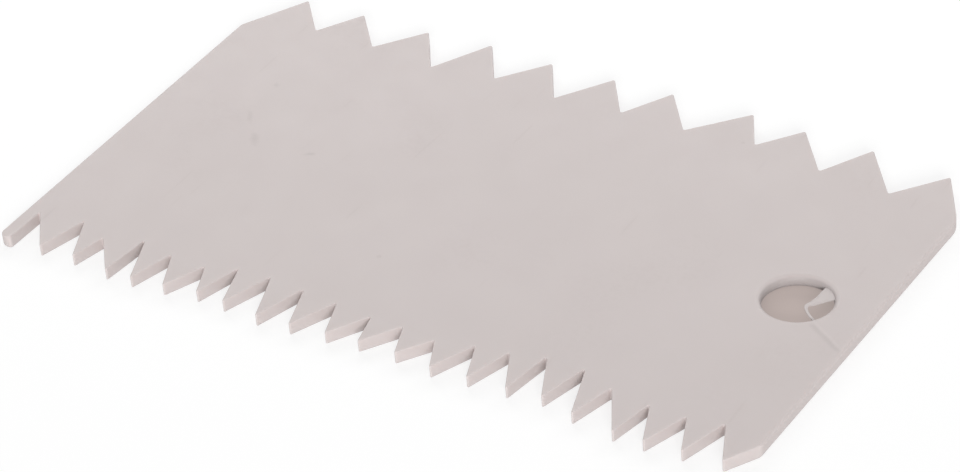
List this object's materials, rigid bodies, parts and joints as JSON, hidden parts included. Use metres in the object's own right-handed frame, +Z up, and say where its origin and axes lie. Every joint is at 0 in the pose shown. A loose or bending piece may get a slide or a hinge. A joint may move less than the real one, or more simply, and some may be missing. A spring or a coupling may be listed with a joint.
{
  "type": "icing comb",
  "caption": "Flat plastic icing comb and side scraper: coarse V teeth along one long edge, fine V teeth along the other, and a hanging hole near one short side.",
  "frame": {"origin": "middle of the comb's underside, at the centre of its bounding box in plan", "axes": "+X along the toothed edges, towards the hanging hole; +Y from the fine teeth towards the coarse teeth; +Z up through the thickness"},
  "size_m": [0.1118, 0.0674, 0.0018],
  "materials": {
    "comb_plastic": "semi-matte moulded plastic, off-white with a faint warm cast"
  },
  "bodies": {
    "root": {"comb_plate": "comb_plastic"}
  },
  "joints": []
}
